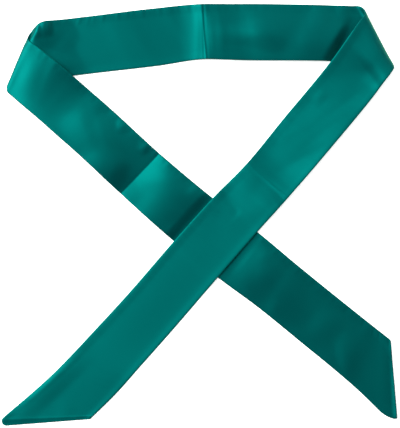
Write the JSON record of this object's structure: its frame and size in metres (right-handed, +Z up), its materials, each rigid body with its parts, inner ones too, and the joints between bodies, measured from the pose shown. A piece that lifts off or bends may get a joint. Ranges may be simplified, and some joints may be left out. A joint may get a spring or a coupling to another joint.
{
  "type": "skinny scarf",
  "caption": "Long narrow satin scarf lying flat, looped with two soft corner folds, its slanted ends crossed.",
  "frame": {"origin": "middle of the outline on the surface that the scarf lies on", "axes": "+Z up from the surface, +Y from the slanted ends towards the neck stretch, +X towards the corner where the front stretch turns over"},
  "size_m": [0.4152, 0.4424, 0.0155],
  "materials": {
    "satin": "teal polyester satin, soft shine"
  },
  "bodies": {
    "root": {"neck_stretch": "satin", "front_stretch": "satin", "back_stretch": "satin"}
  },
  "joints": []
}
